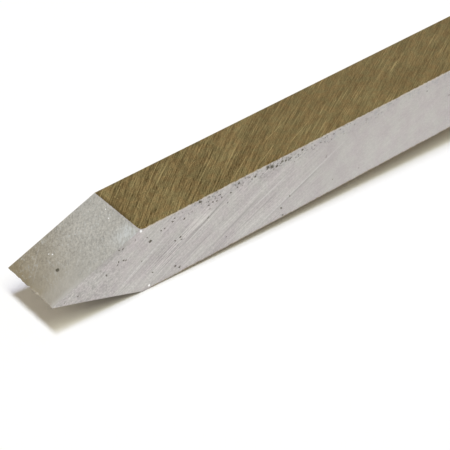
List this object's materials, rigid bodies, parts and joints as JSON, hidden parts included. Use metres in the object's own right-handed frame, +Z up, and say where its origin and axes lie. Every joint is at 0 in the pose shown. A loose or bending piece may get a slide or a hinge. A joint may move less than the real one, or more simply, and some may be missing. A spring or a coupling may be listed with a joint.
{
  "type": "beading and parting tool",
  "caption": "Square steel bar bevelled on both sides to a straight cutting edge, with a turned wooden handle and brass ferrule, for beading and parting on a wood lathe.",
  "frame": {"origin": "on the floor, under the middle of the tool's bounding box", "axes": "+X along the floor from the cutting edge towards the butt of the handle, +Z up; the tool lies as it comes to rest, on the heel of its lower bevel and the belly of its handle, so its own axis rises 3.02 degrees towards the butt"},
  "size_m": [0.408, 0.037, 0.0407],
  "materials": {
    "blade_steel": "ground high-speed steel, bright on its sides and bevels, bronze-brown oxide on its top and bottom",
    "ferrule_brass": "turned brass with fine tool marks",
    "handle_wood": "turned ash under a thin satin lacquer"
  },
  "bodies": {
    "root": {"blade": "blade_steel", "ferrule": "ferrule_brass", "handle": "handle_wood"}
  },
  "joints": []
}
